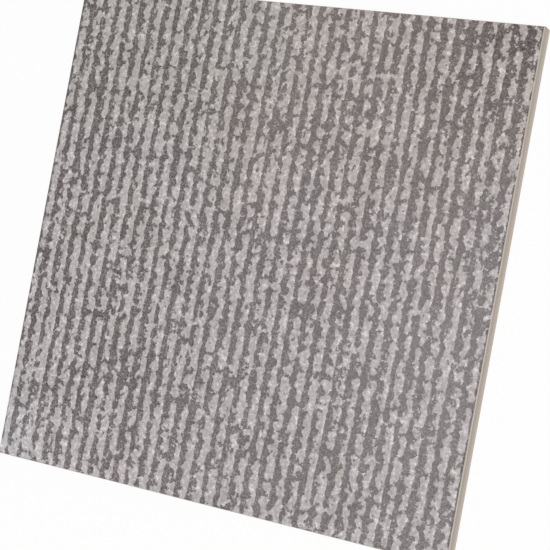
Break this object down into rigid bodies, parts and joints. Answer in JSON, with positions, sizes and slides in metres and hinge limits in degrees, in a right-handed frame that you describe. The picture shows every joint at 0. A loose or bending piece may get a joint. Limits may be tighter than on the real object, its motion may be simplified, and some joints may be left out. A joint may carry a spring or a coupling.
{
  "type": "paving tile",
  "caption": "Square outdoor tile of porcelain stoneware with a broken-ribbed, stone-grey face, ground edges and a recessed back.",
  "frame": {"origin": "middle of the back, on the plane that the tile lies on", "axes": "+Z out of the ribbed face, +Y along the ribs, +X across the ribs towards their straight sides"},
  "size_m": [0.6, 0.6, 0.02],
  "materials": {
    "stoneware": "matte"
  },
  "bodies": {
    "root": {"tile": "stoneware"}
  },
  "joints": []
}
